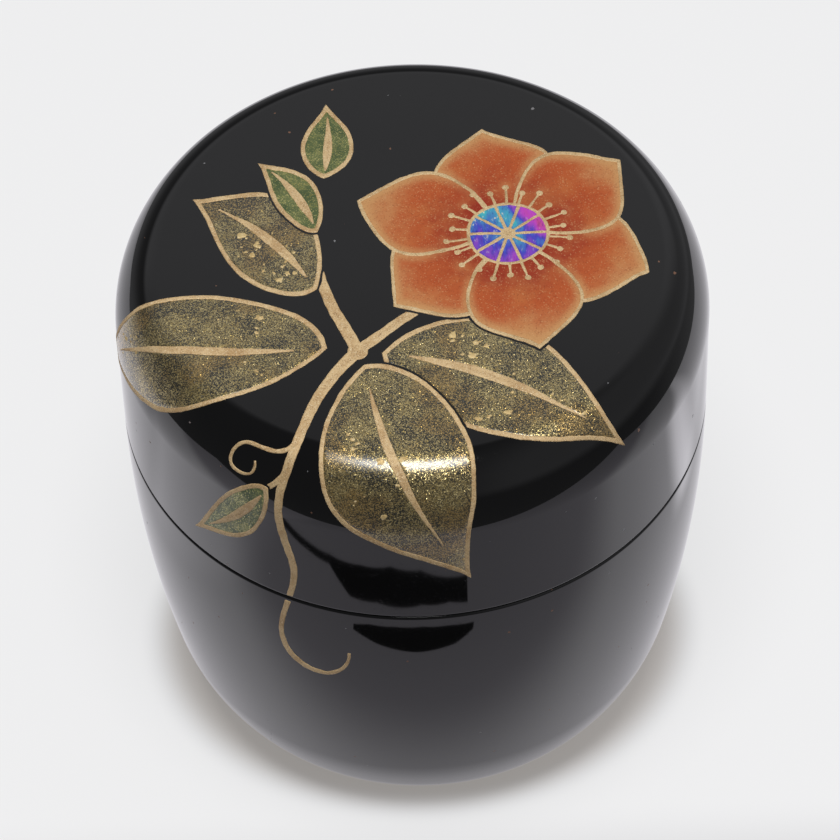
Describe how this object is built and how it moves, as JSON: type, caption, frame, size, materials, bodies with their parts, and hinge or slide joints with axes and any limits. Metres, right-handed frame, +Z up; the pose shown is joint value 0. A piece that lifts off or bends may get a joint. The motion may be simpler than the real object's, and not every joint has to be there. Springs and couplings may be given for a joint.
{
  "type": "lacquer tea caddy",
  "caption": "Round lacquered wooden tea caddy with an upstanding rim and a deep lift-off lid, inlaid with a flowering vine in gold and shell.",
  "frame": {"origin": "centre of the flat base, on the ground", "axes": "+Z up along the turning axis, -Y to the front of the decoration, +X to its right"},
  "size_m": [0.066, 0.0661, 0.0686],
  "materials": {
    "wood": "turned, sealed by the lacquer",
    "black_lacquer": "polished black lacquer",
    "inner_lacquer": "black lacquer, a little softer than outside",
    "red_gold": "fine red and gold powder, polished",
    "shell": "iridescent mother-of-pearl",
    "gold": "gold powder lines, satin",
    "gold_dust": "coarse gold dust sprinkled on dark lacquer",
    "green_gold": "green-gold dust"
  },
  "bodies": {
    "body": {"body_core": "wood", "body_outer_coat": "black_lacquer", "rim_coat": "black_lacquer", "body_inner_coat": "inner_lacquer", "base_coat": "black_lacquer", "vine_body": "gold"},
    "lid": {"lid_core": "wood", "lid_outer_coat": "black_lacquer", "lid_inner_coat": "inner_lacquer", "lid_edge_coat": "black_lacquer", "petal_1": "red_gold", "petal_2": "red_gold", "petal_3": "red_gold", "petal_4": "red_gold", "petal_5": "red_gold", "petal_6": "red_gold", "shell_1": "shell", "shell_2": "shell", "shell_3": "shell", "shell_4": "shell", "shell_5": "shell", "shell_6": "shell", "shell_7": "shell", "shell_8": "shell", "shell_9": "shell", "shell_10": "shell", "shell_web": "gold", "blossom_lines": "gold", "stems": "gold", "leaf_front_edge_1": "gold", "leaf_front_rib": "gold", "leaf_back_edge_1": "gold", "leaf_back_rib": "gold", "leaf_left_edge_1": "gold", "leaf_left_rib": "gold", "bud_edge_1": "gold", "bud_rib": "gold", "bract_edge_1": "gold", "bract_rib": "gold", "small_leaf_edge_1": "gold", "small_leaf_rib": "gold", "leaf_right_edge_1": "gold", "leaf_right_edge_2": "gold", "leaf_right_rib": "gold", "leaf_front": "gold_dust", "leaf_right": "gold_dust", "leaf_back": "gold_dust", "leaf_left": "gold_dust", "bud": "green_gold", "bract": "green_gold", "small_leaf": "green_gold"}
  },
  "joints": [
    {"name": "lid_lift", "type": "slide", "parent": "body", "child": "lid", "axis": [0, 0, 1], "range_m": [0, 0.04]}
  ]
}
